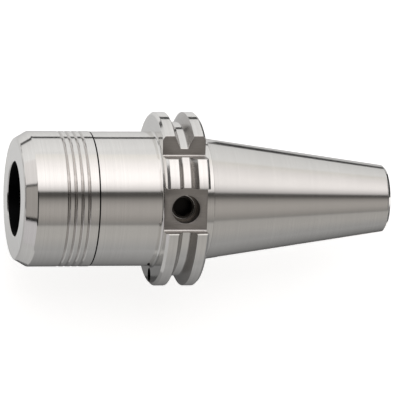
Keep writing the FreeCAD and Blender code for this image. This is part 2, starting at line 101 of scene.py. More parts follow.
surface = {   # how marks and blotches mix, and the part of the mix over which each value changes
    "broadShare": 0.35, "toneFrom": 0.3, "toneTo": 0.7, "roughFrom": 0.25, "roughTo": 0.75,
    "edgeFrom": 0.53, "edgeTo": 0.60, "milledStretch": 0.12, "blurTurn": 0.25,
}


def metalMaterial(name, look):
    mat, tree = emptyMaterial(name)
    coords = addNode(tree, "ShaderNodeTexCoord")
    if look["marks"] == "turned":   # rings round the axis: the pattern reads place and radius only
        parts = addNode(tree, "ShaderNodeSeparateXYZ", links={0: coords.outputs["Object"]})
        flat = addNode(tree, "ShaderNodeVectorMath", {"operation": "MULTIPLY", 1: (0, 1, 1)},
                       {0: coords.outputs["Object"]})
        radius = addNode(tree, "ShaderNodeVectorMath", {"operation": "LENGTH"},
                         {0: flat.outputs[0]})
        lines = addNode(tree, "ShaderNodeCombineXYZ",
                        links={0: parts.outputs[0], 1: radius.outputs["Value"]})
        pattern = lines.outputs[0]
    elif look["marks"] == "milled":   # straight cutter marks along the slot
        lines = addNode(tree, "ShaderNodeVectorMath",
                        {"operation": "MULTIPLY", 1: (surface["milledStretch"], 1, 1)},
                        {0: coords.outputs["Object"]})
        pattern = lines.outputs[0]
    else:
        pattern = coords.outputs["Object"]
    fine = addNode(tree, "ShaderNodeTexNoise",
                   {"Scale": 1 / (look["pitch"] * mm), "Detail": 4.0, "Roughness": 0.6},
                   {"Vector": pattern})
    broad = addNode(tree, "ShaderNodeTexNoise",
                    {"Scale": 1 / (look["blotch"] * mm), "Detail": 3.0, "Roughness": 0.55},
                    {"Vector": coords.outputs["Object"]})
    blend = addNode(tree, "ShaderNodeMix", {"data_type": "FLOAT", 0: surface["broadShare"]},
                    {2: fine.outputs["Fac"], 3: broad.outputs["Fac"]})
    tone = addNode(tree, "ShaderNodeValToRGB", links={"Fac": blend.outputs[0]})
    fillRamp(tone, [(surface["toneFrom"], hexColour(look["dark"])),
                    (surface["toneTo"], hexColour(look["light"]))])
    # convex edges take a lighter colour: partly wear, partly a painted highlight along the edges
    shape = addNode(tree, "ShaderNodeNewGeometry")
    edge = addNode(tree, "ShaderNodeMapRange",
                   {1: surface["edgeFrom"], 2: surface["edgeTo"], 3: 0.0, 4: look["edgeWearAndGlint"]},
                   {0: shape.outputs["Pointiness"]})
    wearAndGlint = addNode(tree, "ShaderNodeMix", {"data_type": "RGBA", 7: hexColour(look["wearAndGlint"])},
                   {0: edge.outputs[0], 6: tone.outputs["Color"]})
    rough = addNode(tree, "ShaderNodeMapRange",
                    {1: surface["roughFrom"], 2: surface["roughTo"],
                     3: look["smooth"], 4: look["rough"]},
                    {0: blend.outputs[0]})
    bump = addNode(tree, "ShaderNodeBump",
                   {"Strength": look["bump"], "Distance": look["bumpDepth"] * mm},
                   {"Height": fine.outputs["Fac"]})
    shader = addNode(tree, "ShaderNodeBsdfPrincipled", {"Metallic": look.get("metal", 1.0)},
                     {"Base Color": wearAndGlint.outputs[2], "Roughness": rough.outputs[0],
                      "Normal": bump.outputs["Normal"]})
    if look["marks"] == "turned":   # the blur runs across the marks, so along the axis
        ring = addNode(tree, "ShaderNodeTangent", {"direction_type": "RADIAL", "axis": "X"})
        shader.inputs["Anisotropic"].default_value = look["stretch"]
        shader.inputs["Anisotropic Rotation"].default_value = surface["blurTurn"]
        tree.links.new(ring.outputs[0], shader.inputs["Tangent"])
    addNode(tree, "ShaderNodeOutputMaterial", links={"Surface": shader.outputs[0]})
    mat.diffuse_color = hexColour(look["light"])
    return mat


# Looks: pitch, blotch and bump depth are in millimetres

# Case-hardened steel, fine turned: satin, with reflections drawn out along the axis
turnedLook = {
    "marks": "turned", "dark": "DAD8D5", "light": "E6E4E1", "wearAndGlint": "F2F0EE",
    "smooth": 0.09, "rough": 0.15, "stretch": 0.6, "pitch": 0.5, "blotch": 14,
    "bump": 0.03, "bumpDepth": 0.02, "edgeWearAndGlint": 0.6,
}
# Cylindrically ground steel of the taper: finer marks, a little greyer and softer
groundLook = dict(turnedLook, dark="D2D0CD", light="DEDCD9", smooth=0.12, rough=0.2, pitch=0.35)
# Milled steel of the slots and the notch: darker and duller, with straight marks
milledLook = {
    "marks": "milled", "dark": "A19D99", "light": "B6B2AE", "wearAndGlint": "E8E5E2",
    "smooth": 0.32, "rough": 0.46, "pitch": 0.4, "blotch": 6,
    "bump": 0.12, "bumpDepth": 0.02, "edgeWearAndGlint": 0.8,
}
# Flanks of the gripper groove: turned with a form tool and left rougher, and much darker as
# painted shade in the groove
flankShadeLook = dict(turnedLook, dark="A8A5A2", light="BCB9B6", smooth=0.16, rough=0.26, stretch=0.5)
# Sleeve grooves: turned with a form tool, so a little rougher than the steel round them, and
# darker as painted shade in the grooves
grooveShadeLook = dict(turnedLook, dark="CDCAC7", light="DAD7D4", smooth=0.12, rough=0.19, stretch=0.5)
# Near black, with a faint sheen: black oxide on the length stop screw, and painted shade on the
# seat, the bores, the seam recess and the balance hole
oxideAndShadeLook = {
    "marks": "turned", "dark": "0B0B0C", "light": "151516", "wearAndGlint": "3A3A3A",
    "smooth": 0.4, "rough": 0.55, "stretch": 0.3, "pitch": 0.4, "blotch": 5,
    "bump": 0.08, "bumpDepth": 0.02, "edgeWearAndGlint": 0.5,
}
# Ground steel of the inner pieces
innerLook = dict(turnedLook, dark="A9A8A6", light="BDBBB9", smooth=0.2, rough=0.3, stretch=0.4)
# Spring steel of the snap ring, oil black worn to brown
springLook = dict(innerLook, dark="4E4A46", light="645F5A", wearAndGlint="8A847D", smooth=0.3, rough=0.45)
# Browned steel of the drive pinion
pinionLook = dict(innerLook, dark="1C1B1A", light="2B2927", wearAndGlint="6A6560", smooth=0.3, rough=0.45)
# Turned brass of the ball cage
brassLook = dict(turnedLook, dark="B8964E", light="CDAE68", wearAndGlint="E6CF95",
                 smooth=0.22, rough=0.34, stretch=0.3)
# Moulded nitrile rubber of the seals: matt black, not a metal
rubberLook = {
    "marks": "moulded", "dark": "0A0A0A", "light": "141414", "wearAndGlint": "202020",
    "smooth": 0.6, "rough": 0.75, "metal": 0.0, "pitch": 0.3, "blotch": 3,
    "bump": 0.1, "bumpDepth": 0.02, "edgeWearAndGlint": 0.0,
}

turnedSteel = metalMaterial("turnedSteel", turnedLook)
groundSteel = metalMaterial("groundSteel", groundLook)
milledSteel = metalMaterial("milledSteel", milledLook)
flankShadedSteel = metalMaterial("flankShadedSteel", flankShadeLook)
grooveShadedSteel = metalMaterial("grooveShadedSteel", grooveShadeLook)
oxideAndPaintedShade = metalMaterial("oxideAndPaintedShade", oxideAndShadeLook)
innerSteel = metalMaterial("innerSteel", innerLook)
springSteel = metalMaterial("springSteel", springLook)
brownedSteel = metalMaterial("brownedSteel", pinionLook)
cageBrass = metalMaterial("cageBrass", brassLook)
sealRubber = metalMaterial("sealRubber", rubberLook)
print("materials made")


# Turned shapes: a closed profile of (place, radius, corner round, material), spun about X

wideRound = 0.3          # mm, corners rounder than this get more segments
wideSegments, fineSegments = 7, 3
creaseAngle = math.radians(28)
acrossAxis = 0.9999      # a face whose normal lies this nearly along X is flat
aboutAxis = 0.9995       # a turned face's normal lies this nearly in a plane through the axis


def makeObject(name, mesh, materials):
    obj = bpy.data.objects.new(name, mesh)
    bpy.context.scene.collection.objects.link(obj)
    for mat in materials:
        mesh.materials.append(mat)
    return obj


def finishMesh(bm, name):
    mesh = bpy.data.meshes.new(name)
    bm.to_mesh(mesh)
    bm.free()
    return mesh


def spinProfile(profile, steps):
    bm = bmesh.new()
    corners = [bm.verts.new((p[0] * mm, 0, p[1] * mm)) for p in profile]
    kindOf = bm.edges.layers.int.new("kind")
    for i, corner in enumerate(corners):
        edge = bm.edges.new((corner, corners[(i + 1) % len(corners)]))
        edge[kindOf] = profile[i][3]
    for corner, point in zip(corners, profile):
        if point[2] > 0:
            segments = wideSegments if point[2] > wideRound else fineSegments
            bmesh.ops.bevel(bm, geom=[corner], offset=point[2] * mm, offset_type="OFFSET",
                            affect="VERTICES", segments=segments, profile=0.5, material=-1)
    kinds = [(e.verts[0].co.copy(), e.verts[1].co.copy(), e[kindOf]) for e in bm.edges]
    bmesh.ops.spin(bm, geom=bm.verts[:] + bm.edges[:], axis=axisX, cent=(0, 0, 0), angle=fullTurn,
                   steps=steps, use_merge=True, use_duplicate=False)
    bmesh.ops.remove_doubles(bm, verts=bm.verts, dist=weld)
    for face in bm.faces:   # each face takes the material of the profile edge nearest to it
        middle = face.calc_center_median()
        radius = math.hypot(middle.y, middle.z)
        best = min(kinds, key=lambda k: (abs(k[0].x + k[1].x - 2 * middle.x)
                                         + abs(k[0].z + k[1].z - 2 * radius)))
        face.material_index = best[2]
    bmesh.ops.recalc_face_normals(bm, faces=bm.faces)
    return bm


def trueNormals(obj, turnedKinds):
    # faces turned about X get their cone's exact normal at each corner, so reflections run true
    mesh = obj.data
    for face in mesh.polygons:
        face.use_smooth = True
    mesh.set_sharp_from_angle(angle=creaseAngle)
    normals = [Vector(n.vector) for n in mesh.corner_normals]
    for face in mesh.polygons:
        along = face.normal.x
        if face.material_index not in turnedKinds:
            continue
        if abs(along) > acrossAxis:
            for i in face.loop_indices:
                normals[i] = face.normal.copy()
            continue
        out = Vector((0, face.center.y, face.center.z)).normalized()
        rise = face.normal.dot(out)
        if rise * rise + along * along < aboutAxis:
            continue
        side = math.copysign(math.sqrt(1 - along * along), rise)
        for i in face.loop_indices:
            place = mesh.vertices[mesh.loops[i].vertex_index].co
            spoke = Vector((0, place.y, place.z)).normalized()
            normals[i] = Vector((along, 0, 0)) + spoke * side
    mesh.normals_split_custom_set(normals)


# Cuts into the holder body

# dark holds painted shade in the seam recess and the balance hole; shadedFlank holds painted shade
# on the groove flanks
turned, ground, milled, dark, shadedFlank = 0, 1, 2, 3, 4      # the body's material slots
cutting = {   # spare: how far the cutters stand out of the flange, in mm
    "spare": 1, "alongX": 1e-4, "sameCorner": 1e-7, "slopeMatch": 0.01, "slopeArea": 2e-5,
    "cornerSegments": 5, "tidyDistance": 2e-6, "sharpAngle": 0.6, "breakSegments": 2,
}


def prismCutter(start, end, outline, roundCorners, roundReach):
    # an outline in (across, up) drawn out along the axis, some corners rounded as a cutter does
    bm = bmesh.new()
    face = bm.faces.new([bm.verts.new((start * mm, y * mm, z * mm)) for y, z in outline])
    grown = bmesh.ops.extrude_face_region(bm, geom=[face])
    moved = [v for v in grown["geom"] if isinstance(v, bmesh.types.BMVert)]
    bmesh.ops.translate(bm, vec=((end - start) * mm, 0, 0), verts=moved)
    corners = [outline[i] for i in roundCorners]
    edges = []
    for edge in bm.edges:
        first, last = edge.verts[0].co, edge.verts[1].co
        offCorner = [abs(first.y - y * mm) + abs(first.z - z * mm) for y, z in corners]
        if abs(first.x - last.x) > cutting["alongX"] and min(offCorner) < cutting["sameCorner"]:
            edges.append(edge)
    bmesh.ops.bevel(bm, geom=edges, offset=roundReach * mm, offset_type="OFFSET", affect="EDGES",
                    segments=cutting["cornerSegments"], profile=0.5, material=-1)
    bmesh.ops.recalc_face_normals(bm, faces=bm.faces)
    for face in bm.faces:   # the sloping sides cut the bright chamfers
        slope = abs(abs(face.normal.y) - abs(face.normal.z))
        sloping = slope < cutting["slopeMatch"] and abs(face.normal.x) < cutting["slopeMatch"]
        bright = sloping and face.calc_area() > cutting["slopeArea"]
        face.material_index = turned if bright else milled
    return bm


def slotCutter(start, end, half, floor, rim, chamfer, side, roundReach):
    # a square slot whose two edges are chamfered where they meet the rim
    lip = math.sqrt(rim * rim - half * half) - chamfer
    reach = rim + 2 * cutting["spare"] - lip
    outline = [(-half, floor), (half, floor), (half, lip), (half + reach, lip + reach),
               (-half - reach, lip + reach), (-half, lip)]
    return prismCutter(start, end, [(y, z * side) for y, z in outline], (0, 1), roundReach)


def drillCutter(start, direction, radius, length, kind, segments=96):
    bm = bmesh.new()
    made = bmesh.ops.create_cone(bm, cap_ends=True, cap_tris=False, segments=segments,
                                 radius1=radius * mm, radius2=radius * mm, depth=length * mm)
    turn = Vector((0, 0, 1)).rotation_difference(Vector(direction)).to_matrix()
    middle = (Vector(start) + Vector(direction) * (length / 2)) * mm
    bmesh.ops.rotate(bm, cent=(0, 0, 0), matrix=turn, verts=made["verts"])
    bmesh.ops.translate(bm, vec=middle, verts=made["verts"])
    for face in bm.faces:
        face.material_index = kind
    return bm


def cutAway(obj, cutters):
    tools = []
    for bm in cutters:
        bmesh.ops.recalc_face_normals(bm, faces=bm.faces)
        tool = makeObject("cutter", finishMesh(bm, "cutter"), [])
        tools.append(tool)
        mod = obj.modifiers.new("cut", "BOOLEAN")
        mod.operation = "DIFFERENCE"
        mod.solver = "EXACT"
        mod.material_mode = "INDEX"
        mod.object = tool
    bpy.context.view_layer.update()
    whole = obj.evaluated_get(bpy.context.evaluated_depsgraph_get())
    cut = bpy.data.meshes.new_from_object(whole)
    obj.modifiers.clear()
    old = obj.data
    obj.data = cut
    bpy.data.meshes.remove(old)
    for tool in tools:
        bpy.data.objects.remove(tool)


def breakEdges(obj, outer, cut, width):
    # the fine break that a machinist leaves where two cuts meet
    bm = bmesh.new()
    bm.from_mesh(obj.data)
    bmesh.ops.remove_doubles(bm, verts=bm.verts, dist=cutting["tidyDistance"])
    bmesh.ops.dissolve_degenerate(bm, dist=cutting["tidyDistance"], edges=bm.edges)
    sharp = []
    for edge in bm.edges:
        if len(edge.link_faces) == 2 and edge.calc_face_angle_signed(0) > cutting["sharpAngle"]:
            pair = {f.material_index for f in edge.link_faces}
            if cut in pair and (pair & outer or len(pair) == 1):
                sharp.append(edge)
    bmesh.ops.bevel(bm, geom=sharp, offset=width * mm, offset_type="OFFSET", affect="EDGES",
                    segments=cutting["breakSegments"], profile=0.5, material=-1,
                    clamp_overlap=False)
    bm.to_mesh(obj.data)
    bm.free()


# Holder body: shank, flange and nose in one piece of steel

body = {   # millimetres along the axis from the gauge line, and radii
    "seam": -42.6, "seamGap": 0.16, "seamDepth": 0.9, "noseRadius": 24.55, "noseFillet": 0.8,
    "flangeFront": -19.1, "flangeRear": -3.2, "rimRadius": 31.775, "rimChamfer": 1.0,
    "grooveCentre": -11.1, "grooveMouth": 7.07, "grooveBottom": 2.856, "grooveRadius": 28.125,
    "neckRadius": 22.1, "gaugeRadius": 22.225, "gaugeStep": 0.1,
    "taperLength": 68.4, "taperRate": 7 / 48, "endChamfer": 1.0,
    "pilotRadius": 8.5, "pilotDepth": 7.0, "pilotChamfer": 0.6,
    "threadMajor": 8.0, "threadLength": 25.0, "coolantRadius": 4.5,
    "guideRadius": 10.04, "guideEnd": 16.0,
    "chamberRadius": 13.91, "chamberRear": -5.5, "chamberFront": -17.2,
    "counterRadius": 19.6, "counterFront": -30.2, "sleeveThread": 21.05,
    "edgeRound": 0.12, "rimRound": 0.15, "grooveRound": 0.25, "neckRound": 0.3,
    "gaugeRound": 0.03, "taperEndRound": 0.2, "endRound": 0.1,
    "slotHalf": 8.05, "keySlotFloor": 25.0, "plainSlotFloor": 22.8, "slotRound": 0.8,
    "plainRunout": 2.0, "landChamfer": 0.55, "notchWall": 18.5, "notchRound": 0.6,
    "keyHoleRadius": 5.15, "keyHoleStart": 9, "snapGroove": (19.01, 19.91, 5.45),
    "balanceRadius": 28.0, "balanceAngle": 272.3, "balanceHole": 2.5, "balanceDepth": 4.0,
    "brokenEdge": 0.14,
}


def bodyProfile(b):
    rim, chamfer = b["rimRadius"], b["rimChamfer"]
    mouth, bottom = b["grooveMouth"] / 2, b["grooveBottom"] / 2
    groove = b["grooveCentre"]
    recess = b["noseRadius"] - b["seamDepth"]
    stepRadius = b["gaugeRadius"] - b["gaugeStep"] * b["taperRate"]
    endRadius = b["gaugeRadius"] - (b["taperLength"] - b["endChamfer"]) * b["taperRate"]
    pilotFront = b["taperLength"] - b["pilotDepth"]
    threadFront = pilotFront - b["threadLength"]
    edge = b["edgeRound"]
    return [
        (b["seam"], b["sleeveThread"], 0, turned),
        # the seam's narrow recess is near black: painted shade
        (b["seam"], recess, 0, dark),
        (b["seam"] + b["seamGap"], recess, 0, dark),
        (b["seam"] + b["seamGap"], b["noseRadius"], edge, turned),
        (b["flangeFront"], b["noseRadius"], b["noseFillet"], turned),
        (b["flangeFront"], rim - chamfer, edge, turned),
        (b["flangeFront"] + chamfer, rim, b["rimRound"], turned),
        # both flanks of the gripper groove take the darker flank colour: painted shade
        (groove - mouth, rim, edge, shadedFlank),
        (groove - bottom, b["grooveRadius"], b["grooveRound"], turned),
        (groove + bottom, b["grooveRadius"], b["grooveRound"], shadedFlank),
        (groove + mouth, rim, edge, turned),
        (b["flangeRear"] - chamfer, rim, b["rimRound"], turned),
        (b["flangeRear"], rim - chamfer, edge, turned),
        (b["flangeRear"], b["neckRadius"], b["neckRound"], turned),
        (0, b["neckRadius"], 0, turned),
        (b["gaugeStep"], stepRadius, b["gaugeRound"], ground),
        (b["taperLength"] - b["endChamfer"], endRadius, b["taperEndRound"], turned),
        (b["taperLength"], endRadius - b["endChamfer"], b["endRound"], turned),
        (b["taperLength"], b["pilotRadius"] + b["pilotChamfer"], 0, turned),
        (b["taperLength"] - b["pilotChamfer"], b["pilotRadius"], 0, turned),
        (pilotFront, b["pilotRadius"], 0, turned),
        (pilotFront, b["threadMajor"], 0, turned),
        (threadFront, b["threadMajor"], 0, turned),
        (threadFront, b["coolantRadius"], 0, turned),
        (b["guideEnd"], b["coolantRadius"], 0, turned),
        (b["guideEnd"], b["guideRadius"], 0, turned),
        (b["chamberRear"], b["guideRadius"], 0, turned),
        (b["chamberRear"], b["chamberRadius"], 0, turned),
        (b["chamberFront"], b["chamberRadius"], 0, turned),
        (b["chamberFront"], b["counterRadius"], 0, turned),
        (b["counterFront"], b["counterRadius"], 0, turned),
        (b["counterFront"], b["sleeveThread"], 0, turned),
    ]


def makeBody(b):
    bodyMesh = finishMesh(spinProfile(bodyProfile(b), turnSteps), "holderBody")
    obj = makeObject("holderBody", bodyMesh,
                     [turnedSteel, groundSteel, milledSteel, oxideAndPaintedShade, flankShadedSteel])
    spare = cutting["spare"]
    front, rear, half = b["flangeFront"] - spare, b["flangeRear"] + spare, b["slotHalf"]
    top = b["rimRadius"] + 2 * spare
    wall = b["notchWall"]
    rim, lip, corner = b["rimRadius"], b["landChamfer"], b["slotRound"]
    low, high, snapRadius = b["snapGroove"]
    angle = math.radians(b["balanceAngle"])
    balancePlace = (front, math.sin(angle) * b["balanceRadius"],
                    math.cos(angle) * b["balanceRadius"])
    cutAway(obj, [
        slotCutter(front, rear, half, b["keySlotFloor"], rim, lip, 1, corner),
        slotCutter(b["flangeFront"] - b["plainRunout"], rear, half, b["plainSlotFloor"], rim, lip,
                   -1, corner),
        prismCutter(front, rear, [(wall, wall), (top, wall), (top, top), (wall, top)], (0,),
                    b["notchRound"]),
        drillCutter((b["grooveCentre"], 0, b["keyHoleStart"]), (0, 0, 1), b["keyHoleRadius"],
                    top - b["keyHoleStart"], milled),
        drillCutter((b["grooveCentre"], 0, low), (0, 0, 1), snapRadius, high - low, milled),
        # the balance hole is near black: painted shade
        drillCutter(balancePlace, (1, 0, 0), b["balanceHole"], b["balanceDepth"] + spare, dark,
                    segments=64),
    ])
    breakEdges(obj, {turned, shadedFlank}, milled, b["brokenEdge"])
    trueNormals(obj, (turned, ground, shadedFlank))
    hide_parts("holder_body")
    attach(obj, "holder")
    return obj


holderBody = makeBody(body)
print("holder body made", len(holderBody.data.polygons))


# Front sleeve with the collet's seat

sleeve = {
    "front": -70.0, "faceRadius": 22.0, "faceReach": 0.75, "chamferReach": 0.35,
    "chamferLength": 4.68, "radius": 24.7, "mouthRadius": 13.7, "mouthChamfer": 0.4,
    "seatEnd": -50.0, "seatRadius": 10.89, "guideFront": -39.0, "guideRadius": 10.04,
    "grooveFirst": 16.0, "groovePitch": 2.5, "grooveCount": 4, "grooveWidth": 1.1,
    "grooveDepth": 0.5, "grooveFlat": 0.12, "grooveRound": 0.1,
    "threadRadius": 21.0, "threadEnd": -31.0, "pilotRadius": 19.56, "end": -28.0,
    "mouthRound": 0.08, "seamRound": 0.12, "seatRound": 0.3,
}
# inside takes the near-black colour, painted shade in the seat, the bores and the seam; cutIn
# takes the darker groove colour, painted shade
outside, inside, cutIn = 0, 1, 2        # the sleeve's material slots


def sleeveProfile(s, seam, gap, depth):
    profile = [
        (s["front"] + s["mouthChamfer"], s["mouthRadius"], 0, outside),
        (s["front"], s["mouthRadius"] + s["mouthChamfer"], s["mouthRound"], outside),
        (s["front"], s["faceRadius"], s["faceReach"], outside),
        (s["front"] + s["chamferLength"], s["radius"], s["chamferReach"], outside),
    ]
    half = s["grooveWidth"] / 2
    flat = half * s["grooveFlat"]
    bottom = s["radius"] - s["grooveDepth"]
    for i in range(s["grooveCount"]):
        centre = s["front"] + s["grooveFirst"] + i * s["groovePitch"]
        profile += [
            # the groove walls take the darker groove colour: painted shade
            (centre - half, s["radius"], s["grooveRound"], cutIn),
            (centre - flat, bottom, s["grooveRound"], cutIn),
            (centre + flat, bottom, s["grooveRound"], cutIn),
            (centre + half, s["radius"], s["grooveRound"], outside),
        ]
    profile += [
        # the seam's narrow side wall is near black: painted shade
        (seam - gap, s["radius"], s["seamRound"], inside),
        (seam - gap, s["radius"] - depth, 0, inside),
        (seam, s["radius"] - depth, 0, outside),
        (seam, s["threadRadius"], 0, outside),
        (s["threadEnd"], s["threadRadius"], 0, outside),
        (s["threadEnd"], s["pilotRadius"], 0, outside),
        (s["end"], s["pilotRadius"], 0, outside),
        # the bores and the seat are near black: painted shade down the mouth
        (s["end"], s["guideRadius"], 0, inside),
        (s["guideFront"], s["guideRadius"], 0, inside),
        (s["guideFront"], s["seatRadius"], 0, inside),
        (s["seatEnd"], s["seatRadius"], s["seatRound"], inside),
    ]
    return profile


def makeSleeve(s):
    bm = spinProfile(sleeveProfile(s, body["seam"], body["seamGap"], body["seamDepth"]), turnSteps)
    obj = makeObject("noseSleeve", finishMesh(bm, "noseSleeve"),
                     [turnedSteel, oxideAndPaintedShade, grooveShadedSteel])
    trueNormals(obj, (outside, inside, cutIn))
    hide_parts("nose_sleeve")
    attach(obj, "holder")
    return obj


noseSleeve = makeSleeve(sleeve)
print("nose sleeve made", len(noseSleeve.data.polygons))


# Threads: one closed ridge wound along a helix

ridge = {   # start and sunk are in mm, crestFrom to end are shares of the pitch
    "start": 0.02, "crestFrom": 0.38, "crestTo": 0.62, "end": 0.98, "sunk": 0.25, "crease": 30,
}
studThreadSize = {"start": 37.0, "length": 24.0, "pitch": 2.0, "crest": 7.0, "steps": 72}


def threadRidge(name, start, rootRadius, size, material):
    pitch, crestRadius, steps = size["pitch"], size["crest"], size["steps"]
    turns = max(1, int(size["length"] / pitch) - 1)
    bm = bmesh.new()
    back = rootRadius + ridge["sunk"]
    section = [(ridge["start"], back), (ridge["start"], rootRadius),
               (pitch * ridge["crestFrom"], crestRadius), (pitch * ridge["crestTo"], crestRadius),
               (pitch * ridge["end"], rootRadius), (pitch * ridge["end"], back)]
    corners = [bm.verts.new(((start + x) * mm, 0, r * mm)) for x, r in section]
    first = bm.faces.new(corners)
    bmesh.ops.spin(bm, geom=[first], axis=axisX, cent=(0, 0, 0), angle=fullTurn * turns,
                   steps=steps * turns, dvec=(pitch * mm / steps, 0, 0), use_duplicate=False)
    bmesh.ops.remove_doubles(bm, verts=bm.verts, dist=weld)
    bmesh.ops.recalc_face_normals(bm, faces=bm.faces)
    obj = makeObject(name, finishMesh(bm, name), [material])
    for face in obj.data.polygons:
        face.use_smooth = True
    obj.data.set_sharp_from_angle(angle=math.radians(ridge["crease"]))
    return obj


studThread = threadRidge("pullStudThread", studThreadSize["start"], body["threadMajor"],
                         studThreadSize, turnedSteel)
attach(studThread, "holder")
print("pull stud thread made", len(studThread.data.polygons))


# Draw tube, seen down the mouth, with the thread for the collet

drawTube = {
    "front": -45.0, "rear": 11.0, "radius": 10.0, "chamfer": 0.6, "edgeRound": 0.08,
    "threadMajor": 8.5, "threadEnd": -31.0, "threadChamfer": 0.3, "inner": 6.5,
    "stopFront": -1.0, "stopStep": 1, "stopRadius": 5.05, "threadInset": 0.6,
}
colletThreadSize = {"length": 13.0, "pitch": 1.25, "crest": 8.0, "steps": 60}


def makeDrawTube(t):
    steel = 0
    edge = t["edgeRound"]
    bm = spinProfile([
        (t["front"], t["threadMajor"] + t["threadChamfer"], 0, steel),
        (t["front"], t["radius"] - t["chamfer"], edge, steel),
        (t["front"] + t["chamfer"], t["radius"], edge, steel),
        (t["rear"] - t["chamfer"], t["radius"], edge, steel),
        (t["rear"], t["radius"] - t["chamfer"], edge, steel),
        (t["rear"], t["stopRadius"], 0, steel),
        (t["stopFront"], t["stopRadius"], 0, steel),
        (t["stopFront"] - t["stopStep"], t["inner"], 0, steel),
        (t["threadEnd"], t["inner"], 0, steel),
        (t["threadEnd"], t["threadMajor"], 0, steel),
        (t["front"] + t["threadChamfer"], t["threadMajor"], 0, steel),
    ], turnSteps // 2)
    obj = makeObject("drawTube", finishMesh(bm, "drawTube"), [innerSteel])
    trueNormals(obj, (steel,))
    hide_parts("draw_tube")
    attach(obj, "draw_tube_set")
    thread = threadRidge("colletThread", t["front"] + t["threadInset"], t["threadMajor"],
                         colletThreadSize, innerSteel)
    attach(thread, "draw_tube_set")


makeDrawTube(drawTube)
print("draw tube made")


# The rest keep their own shape from the frame and take a finish

finishes = {
    "drive_pinion": brownedSteel, "pinion_snap_ring": springSteel, "pinion_washer": innerSteel,
    "length_stop_screw": oxideAndPaintedShade, "ball_cage": cageBrass, "nose_seal": sealRubber,
    "front_wiper": sealRubber, "draw_tube_seal": sealRubber, "stop_screw_seal": sealRubber,
    "pinion_seal": sealRubber,
}
for name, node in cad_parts.items():
    material = finishes.get(name, innerSteel)
    if len(node.data.materials) == 0:
        node.data.materials.append(material)
    for i in range(len(node.data.materials)):
        node.data.materials[i] = material
print("inner pieces finished")


# Studio: a pale table, a soft surround in bands along the axis, and reflector cards

studio = {
    "strength": 1.25, "noseFrom": -0.42, "noseFull": -0.52, "endsFrom": 20, "endsFull": 24,
    "tableColour": "E6E6E5", "tableGlow": 0.72, "tableReach": 3.0,
    "keyEnergy": 0.9, "keySize": 0.5, "keyPlace": (-0.10, 0.55, 0.80),
}
floorLevel = cadBox[0].z


def degrees(angle):
    return (angle + 180) / 360


def light(level, tint):
    return tuple(level / studio["strength"] * t for t in tint) + (1,)


def grey(level):
    return (level, level, level, 1)


warm = (1.0, 0.976, 0.94)
brown = (1.0, 0.952, 0.905)
rosy = (1.0, 0.968, 0.962)
cool = (0.99, 0.99, 0.985)
lilac = (1.0, 0.975, 1.0)
mainBands = [   # angle about the axis from above, towards the notch side, brightness and tint
    (-180, 0.40, cool), (-96, 0.40, cool), (-85, 0.41, cool), (-60, 0.49, warm),
    (-43, 0.48, warm), (-37.5, 0.46, warm), (-36.4, 0.31, warm), (-35, 0.31, warm),
    (-28, 0.39, brown), (-18, 0.48, brown), (-8, 0.50, brown), (-1, 0.46, brown),
    (6, 0.35, brown), (11, 0.18, brown), (14, 0.10, brown), (19.0, 0.09, warm),
    (20.2, 0.12, warm), (21.4, 0.60, rosy), (25, 0.86, rosy), (32, 1.18, rosy),
    (40, 1.38, rosy), (52, 1.38, rosy), (62, 1.28, rosy), (71, 1.19, rosy),
    (87, 1.01, warm), (106, 0.92, cool), (130, 0.85, cool), (180, 0.60, cool),
]
noseBands = [   # the same for what lies towards the nose
    (-180, 0.55, lilac), (-60, 0.61, lilac), (-41, 0.61, lilac), (-40, 0.0, lilac),
    (-32.6, 0.0, warm), (-31.6, 0.40, brown), (35.5, 0.40, brown), (36.5, 0.06, warm),
    (40.5, 0.06, warm), (42, 0.88, rosy), (90, 0.90, rosy), (180, 0.75, cool),
]
endBands = [    # place from the nose's end (0) to the shank's end (1), and brightness
    (0.0, 0.12), (0.055, 0.12), (0.075, 1), (0.64, 1), (0.70, 0.86), (0.79, 0.86),
    (0.82, 0.10), (0.89, 0.10), (0.92, 0.22), (1.0, 0.22),
]
edgeBands = [   # the same for the gap above the key slot
    (0.0, 0.1), (0.055, 0.1), (0.075, 1), (0.19, 1), (0.21, 0.1), (0.42, 0.1), (0.45, 0.9),
    (0.66, 0.9), (0.70, 1), (0.79, 1), (0.82, 0.1), (1.0, 0.1),
]
gapBands = [(-180, 0), (-40, 0), (-38, 1), (21, 1), (24, 0), (180, 0)]


